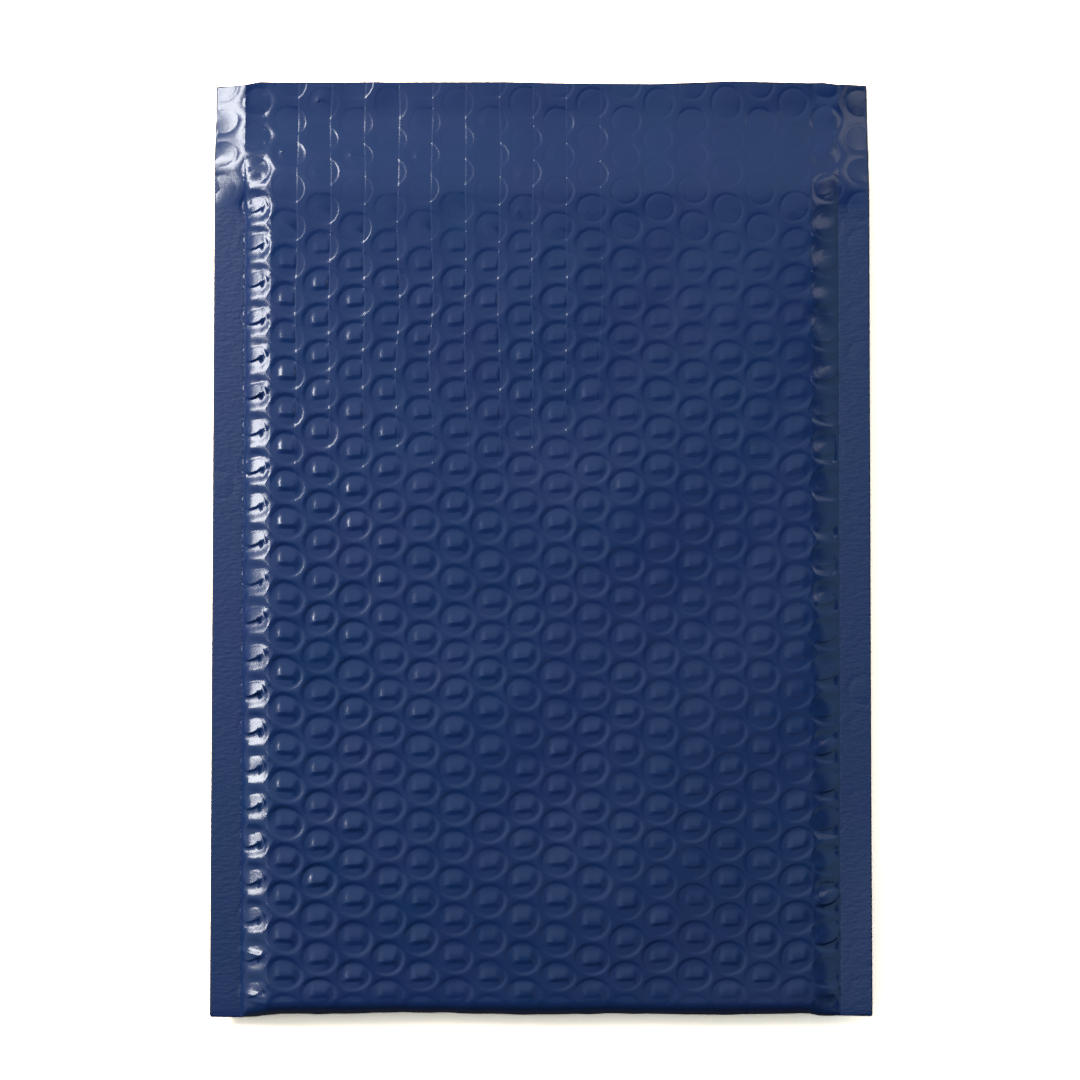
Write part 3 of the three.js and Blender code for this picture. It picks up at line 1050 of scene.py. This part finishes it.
def plain_grid(step):
    """A coarse flat sheet with the web's outline: x, s, faces and the points on its edge."""
    seal = np.linspace(EDGE_X, WELD_X, SEAL_LINES)
    shoulder = np.linspace(WELD_X, FIELD_X, SHOULDER_LINES)
    sides = np.concatenate([seal, shoulder[1:]])
    lines = np.concatenate([-sides, np.linspace(-FIELD_X, FIELD_X, FLAT_LINES)[1:-1], sides[::-1]])
    stations = np.linspace(0.0, WEB_END, int(WEB_END / step) + 1)
    x, s = (g.ravel() for g in np.meshgrid(lines, stations))
    across = len(lines)
    faces = [
        (k * across + i, k * across + i + 1, (k + 1) * across + i + 1, (k + 1) * across + i)
        for k in range(len(stations) - 1)
        for i in range(across - 1)
    ]
    on_edge = (np.abs(x) > EDGE_X - ON_EDGE) | (s < ON_EDGE) | (s > WEB_END - ON_EDGE)
    return x, s, faces, np.flatnonzero(on_edge)


def zip_edges(outer, inner, at):
    """Triangles between two closed rows of points, in step with their positions."""
    outer = outer[np.argsort(at[outer])]
    inner = inner[np.argsort(at[inner])]
    faces, i, j = [], 0, 0
    while i < len(outer) or j < len(inner):
        here, there = outer[i % len(outer)], inner[j % len(inner)]
        next_here, next_there = outer[(i + 1) % len(outer)], inner[(j + 1) % len(inner)]
        here_at = at[next_here] + (FULL_ROUND if i + 1 >= len(outer) else 0.0)
        there_at = at[next_there] + (FULL_ROUND if j + 1 >= len(inner) else 0.0)
        if j >= len(inner) or (i < len(outer) and here_at <= there_at):
            faces.append((here, next_here, there))
            i += 1
        else:
            faces.append((here, next_there, there))
            j += 1
    return faces


# %% One closed piece
# The cut edge that shows here has the darker finish set below, as painted shade for a dark outline.
EDGE_FLARE = 0.40  # how far the cut edge shows beside the film's face
ON_WELD = 1e-6  # in metres


def mark_sharp_edges(body, rim_start, rim_end):
    """Keeps the shading sharp along the cut edge and along the weld lines."""
    for edge in body.edges:
        on_rim = [rim_start <= f.index < rim_end for f in edge.link_faces]
        welded = all(
            abs(abs(v.co.x) - WELD_X * METRE) < ON_WELD and v.co.y < MOUTH_Y * METRE
            for v in edge.verts
        )
        edge.smooth = not (any(on_rim) and not all(on_rim)) and not welded


def close_piece(name, flat, lift_detail, lift_plain, plain_step):
    """A closed piece from a detailed flat mesh and a plain sheet, each lifted and folded."""
    flat.verts.index_update()
    places = np.array([v.co[:2] for v in flat.verts])
    x, s = places[:, 0], places[:, 1]
    detail_faces = [tuple(v.index for v in f.verts) for f in flat.faces]
    detail_edge = np.array([v.index for v in flat.verts if v.is_boundary])
    detail = place_on_web(x, s, lift_detail(x, s))
    plain_x, plain_s, plain_faces, plain_edge = plain_grid(plain_step)
    plain = place_on_web(plain_x, plain_s, lift_plain(plain_x, plain_s))
    plain[:, 0] += EDGE_FLARE * np.sign(plain_x) * (np.abs(plain_x) > EDGE_X - ON_EDGE)
    plain[:, 1] += EDGE_FLARE * (plain_s < ON_EDGE)
    count = len(detail)
    at = np.concatenate([round_outline(x, s), round_outline(plain_x, plain_s)])
    faces = list(detail_faces)
    faces += zip_edges(detail_edge, count + plain_edge, at)
    rim_end = len(faces)
    faces += [tuple(count + i for i in face) for face in plain_faces]
    mesh = bpy.data.meshes.new(name)
    mesh.from_pydata((np.concatenate([detail, plain]) * METRE).tolist(), [], faces)
    mesh.shade_smooth()
    body = bmesh.new()
    body.from_mesh(mesh)
    bmesh.ops.recalc_face_normals(body, faces=body.faces[:])
    mark_sharp_edges(body, len(detail_faces), rim_end)
    for face in body.faces[len(detail_faces) : rim_end]:
        face.material_index = 1
    open_edges = sum(not e.is_manifold for e in body.edges)
    body.to_mesh(mesh)
    body.free()
    shade_by_relief(mesh, x, s, lift_detail, len(detail_faces))
    piece = bpy.data.objects.new(name, mesh)
    bpy.context.scene.collection.objects.link(piece)
    triangles = sum(len(p.vertices) - 2 for p in mesh.polygons)
    print(f"{name}: {triangles} triangles, {open_edges} open edges")
    return piece


# %% The film
FIELD_RINGS = (
    ("dome", 0.4),
    ("dome", 0.7),
    ("dome", 1.0),
    ("bank", 4.2),
    ("bank", 4.9),
    ("bank", 5.55),
)
EDGE_RINGS = (
    ("lip", 0.6),
    ("lip", 0.8),
    ("lip", 1.0),
    ("round", 4.1),
    ("round", 4.8),
    ("round", 5.5),
)
TIGHT_RINGS = (
    ("dot", 0.8),
    ("round", 3.7),
    ("round", 4.2),
    ("round", 4.7),
    ("round", 5.0),
    ("round", 5.3),
)
STRIP_RINGS = (("round", 2.0), ("round", 3.7), ("round", 4.3), ("round", 4.9))
SEAL_RINGS = (("round", 3.7), ("round", 4.3), ("round", 4.9))
FRONT_RINGS = (("round", 4.4),)
CREASED_COLUMNS = range(2, 12)  # the columns whose creases show
CREASE_END = 150.0  # and how far along the web
PLEAT_CUTS = (-1.1, -0.4, 0.4, 1.1)  # rows of edges along a pleat, in its widths
PLEAT_REACH = 6.0  # the cuts leave what is farther from the pleat
PLAIN_STEP = 6.0  # size of the faces on a piece's plain side


def film_rings(column, s):
    """The rings that a bubble needs where it stands."""
    side = min(column, COLUMNS - 1 - column)
    if s > FOLD_END:
        return FRONT_RINGS
    if side == 0:
        return SEAL_RINGS
    if side == 1:
        return STRIP_RINGS if on_flap(np.array(s)) > 0.5 else EDGE_RINGS
    tight = tight_zone(np.array(column_x(column)), np.array(s)) > 0.5
    return TIGHT_RINGS if tight else FIELD_RINGS


def cut_pleats(flat):
    """Adds edges along the pleats, so that the mesh can follow them."""
    for pleat_y, _ in PLEATS:
        for step in PLEAT_CUTS:
            place = (PLEAT_X, web_length(pleat_y) + step * PLEAT_WIDTH, 0)
            faces = [
                f
                for f in flat.faces
                if abs(f.verts[0].co.x - place[0]) < SHOULDER_WIDTH
                and abs(f.verts[0].co.y - place[1]) < PLEAT_REACH
            ]
            cut_faces(flat, faces, place, (-PLEAT_SLANT, 1, 0))


film_web = flat_mesh(*honeycomb(film_rings, side_steps=3))
cut_lines(
    film_web,
    [
        column_x(column) + CREASE_X + step * CREASE_HALF
        for column in CREASED_COLUMNS
        for step in (-1, 0, 1)
    ],
    CREASE_END,
)
cut_lines(film_web, [-WELD_X, WELD_X], WEB_END)
cut_pleats(film_web)
cut_to_outline(film_web)
pouch = close_piece(
    "pouch_film", film_web, web_relief, lambda x, s: -film_depth(x, s), PLAIN_STEP
)
film_web.free()

# %% [markdown]
# The bubble lining
#
# Under the film lies the lining: a thin clear sheet with a round air bubble in each cell. It
# shows inside the mouth and on the underside of the flap. It is made from the same cells and by
# the same folding as the film, so that its bubbles sit under the film's rings. Its flat side
# follows the film, and its bubbles reach in as far as the panel's thickness, so it stays inside
# the CAD solid.

# %% The lining
LINING_GAP = 0.03  # between the film and the lining
LINING_FILM = 0.08
LINING_RINGS = (("round", 2.4), ("round", 3.6), ("round", 4.4), ("round", 4.9))
BUBBLE_TOP = 2.6  # radius of a bubble's flat top
BUBBLE_FOOT = 4.9


def lining_bubbles(x, s):
    y = np.where(s < BACK_END, flat_y(s), 0.0)
    _, _, dx, ds = nearest_bubble(x, s)
    start = film_depth(x, s) + LINING_GAP + LINING_FILM
    room = np.maximum(web_thickness(x, y) - start, 0.0)
    return -start - room * (1.0 - smooth(np.hypot(dx, ds), BUBBLE_TOP, BUBBLE_FOOT))


def lining_back(x, s):
    return -film_depth(x, s) - LINING_GAP


lining_web = flat_mesh(*honeycomb(lambda column, s: LINING_RINGS, side_steps=2))
cut_lines(lining_web, [-WELD_X, WELD_X], WEB_END)
cut_to_outline(lining_web)
lining = close_piece("bubble_lining", lining_web, lining_bubbles, lining_back, PLAIN_STEP)
lining_web.free()

# %% [markdown]
# Finishes
#
# The film is a satin plastic: its colour drifts a little between a greener and a more violet
# navy, and very fine crinkles break up its gloss. Noise gives both, as it has no seams and needs no
# picture. The drift and the crinkles are node groups, as the lining, the liner and the adhesive
# show them too, each with its own strength.


# %% Node groups
def new_group(name, inputs, outputs):
    """A node group with float inputs and outputs, and its two end nodes."""
    group = bpy.data.node_groups.new(name, "ShaderNodeTree")
    for socket, value in inputs.items():
        made = group.interface.new_socket(socket, in_out="INPUT", socket_type="NodeSocketFloat")
        made.default_value = value
    for socket in outputs:
        group.interface.new_socket(socket, in_out="OUTPUT", socket_type="NodeSocketFloat")
    return group, add_node(group, "NodeGroupInput"), add_node(group, "NodeGroupOutput")


def make_drift_group():
    """A slow, cloudy mask from 0 to 1."""
    group, given, result = new_group("tone_drift", {"Scale": 40.0}, ["Mask"])
    coordinates = add_node(group, "ShaderNodeTexCoord")
    noise = add_node(
        group,
        "ShaderNodeTexNoise",
        Vector=coordinates.outputs["Object"],
        Scale=given.outputs["Scale"],
        Detail=3.0,
    )
    spread = add_node(
        group, "ShaderNodeMapRange", _0=noise.outputs["Fac"], _1=0.3, _2=0.7, _3=0.0, _4=1.0
    )
    group.links.new(spread.outputs[0], result.inputs["Mask"])
    return group


def make_crinkle_group():
    """The height of fine crinkles, for a Bump node."""
    group, given, result = new_group("fine_crinkle", {"Scale": 500.0}, ["Height"])
    coordinates = add_node(group, "ShaderNodeTexCoord")
    noise = add_node(
        group,
        "ShaderNodeTexNoise",
        Vector=coordinates.outputs["Object"],
        Scale=given.outputs["Scale"],
        Detail=4.0,
        Roughness=0.6,
    )
    group.links.new(noise.outputs["Fac"], result.inputs["Height"])
    return group


tone_drift = make_drift_group()
fine_crinkle = make_crinkle_group()
print("node groups:", tone_drift.name, fine_crinkle.name)


# %% Materials
CRINKLE_DEPTH = 0.0002  # metres


def make_finish(name, colours, roughness, crinkle, drift_scale, crinkle_scale):
    """A plastic whose colour and gloss drift between two values, with fine crinkles."""
    material, tree, output = new_material(name)
    drift = add_node(tree, "ShaderNodeGroup", {"node_tree": tone_drift}, Scale=drift_scale)
    wrinkle = add_node(tree, "ShaderNodeGroup", {"node_tree": fine_crinkle}, Scale=crinkle_scale)
    mask = drift.outputs["Mask"]
    colour = add_node(
        tree,
        "ShaderNodeMix",
        {"data_type": "RGBA"},
        _0=mask,
        _6=(*colours[0], 1.0),
        _7=(*colours[1], 1.0),
    )
    gloss = add_node(
        tree, "ShaderNodeMapRange", _0=mask, _1=0.0, _2=1.0, _3=roughness[0], _4=roughness[1]
    )
    bump = add_node(
        tree,
        "ShaderNodeBump",
        Strength=crinkle,
        Distance=CRINKLE_DEPTH,
        Height=wrinkle.outputs["Height"],
    )
    shader = add_node(
        tree,
        "ShaderNodeBsdfPrincipled",
        Base_Color=colour.outputs[2],
        Roughness=gloss.outputs[0],
        Normal=bump.outputs[0],
    )
    tree.links.new(shader.outputs[0], output.inputs["Surface"])
    return material, {"gloss": gloss, "wrinkle": wrinkle, "bump": bump, "shader": shader}


NAVY = ((0.0044, 0.0205, 0.0780), (0.0066, 0.0184, 0.0798))  # greener, and more violet
film, film_nodes = make_finish("navy_film", NAVY, (0.21, 0.26), 0.15, 45.0, 900.0)
# The film's cut edge is given a finish darker than the film itself: painted shade, for the thin
# dark line along the film's outline.
shaded_cut_edge, _ = make_finish(
    "shaded_cut_edge", ((0.003, 0.010, 0.035), (0.004, 0.009, 0.036)), (0.55, 0.70), 0.20, 45.0, 900.0
)
clear_lining, _ = make_finish(
    "clear_lining", ((0.14, 0.18, 0.26), (0.18, 0.21, 0.28)), (0.12, 0.25), 0.35, 60.0, 300.0
)
liner_white, _ = make_finish(
    "liner_white", ((0.86, 0.86, 0.84), (0.80, 0.80, 0.78)), (0.40, 0.55), 0.15, 80.0, 400.0
)
tack, _ = make_finish(
    "clear_tack", ((0.62, 0.58, 0.47), (0.70, 0.66, 0.55)), (0.15, 0.30), 0.30, 120.0, 250.0
)
print("finishes:", ", ".join(m.name for m in (film, shaded_cut_edge, clear_lining, liner_white, tack)))

# %% [markdown]
# The heat seals
#
# The sealing bars press the film flat and leave it duller than the rest, with fine creases across
# the seal. These are finer than the mesh, so they are a bump. A mask that is 1 in the seals raises
# the film's roughness there and adds the creases to its crinkles.

# %% Dull, creased seals
SEAL_ROUGHNESS = 0.36
SEAL_BLEND = 0.2  # how far the change to a seal's finish takes
MOUTH_BLEND = 1.0
SEAL_CREASE = 5.0  # height of the creases, against that of the fine crinkles
SEAL_CREASE_STRETCH = (0.45, 1.0, 1.0)  # they run across the seal
SEAL_CREASE_SCALE = 1000.0


def finish_seals(tree, nodes):
    coordinates = add_node(tree, "ShaderNodeTexCoord")
    place = add_node(tree, "ShaderNodeSeparateXYZ", _0=coordinates.outputs["Object"])
    side = add_node(tree, "ShaderNodeMath", {"operation": "ABSOLUTE"}, _0=place.outputs["X"])
    beyond_weld = add_node(
        tree,
        "ShaderNodeMapRange",
        _0=side.outputs[0],
        _1=(WELD_X - SEAL_BLEND) * METRE,
        _2=(WELD_X + SEAL_BLEND) * METRE,
    )
    below_mouth = add_node(
        tree,
        "ShaderNodeMapRange",
        _0=place.outputs["Y"],
        _1=(MOUTH_Y + MOUTH_BLEND) * METRE,
        _2=(MOUTH_Y - MOUTH_BLEND) * METRE,
    )
    mask = add_node(
        tree,
        "ShaderNodeMath",
        {"operation": "MULTIPLY"},
        _0=beyond_weld.outputs[0],
        _1=below_mouth.outputs[0],
    )
    gloss = add_node(
        tree, "ShaderNodeMix", _0=mask.outputs[0], _2=nodes["gloss"].outputs[0], _3=SEAL_ROUGHNESS
    )
    tree.links.new(gloss.outputs[0], nodes["shader"].inputs["Roughness"])
    stretched = add_node(
        tree,
        "ShaderNodeMapping",
        Vector=coordinates.outputs["Object"],
        Scale=SEAL_CREASE_STRETCH,
    )
    creases = add_node(
        tree,
        "ShaderNodeTexNoise",
        Vector=stretched.outputs[0],
        Scale=SEAL_CREASE_SCALE,
        Detail=3.0,
    )
    height = add_node(
        tree,
        "ShaderNodeMath",
        {"operation": "MULTIPLY"},
        _0=creases.outputs["Fac"],
        _1=mask.outputs[0],
    )
    total = add_node(
        tree,
        "ShaderNodeMath",
        {"operation": "MULTIPLY_ADD"},
        _0=height.outputs[0],
        _1=SEAL_CREASE,
        _2=nodes["wrinkle"].outputs["Height"],
    )
    tree.links.new(total.outputs[0], nodes["bump"].inputs["Height"])


finish_seals(film.node_tree, film_nodes)
for piece, finishes in ((pouch, (film, shaded_cut_edge)), (lining, (clear_lining, clear_lining))):
    for finish in finishes:  # of its faces, and of its cut edge
        piece.data.materials.append(finish)
print("seals from x =", round(WELD_X, 1), "mm, up to y =", round(MOUTH_Y, 1), "mm")

# %% [markdown]
# Handing over
#
# The film stands for the CAD solid, which is hidden, and film and lining are hung on the root. The
# adhesive and its liner are carried over as they are, in their own finishes.

for piece in (pouch, lining):
    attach(piece, "root")
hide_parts("pouch")

for node, finish in (("adhesive_strip", tack), ("release_liner", liner_white)):
    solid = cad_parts[node]
    solid.data.materials.clear()
    solid.data.materials.append(finish)
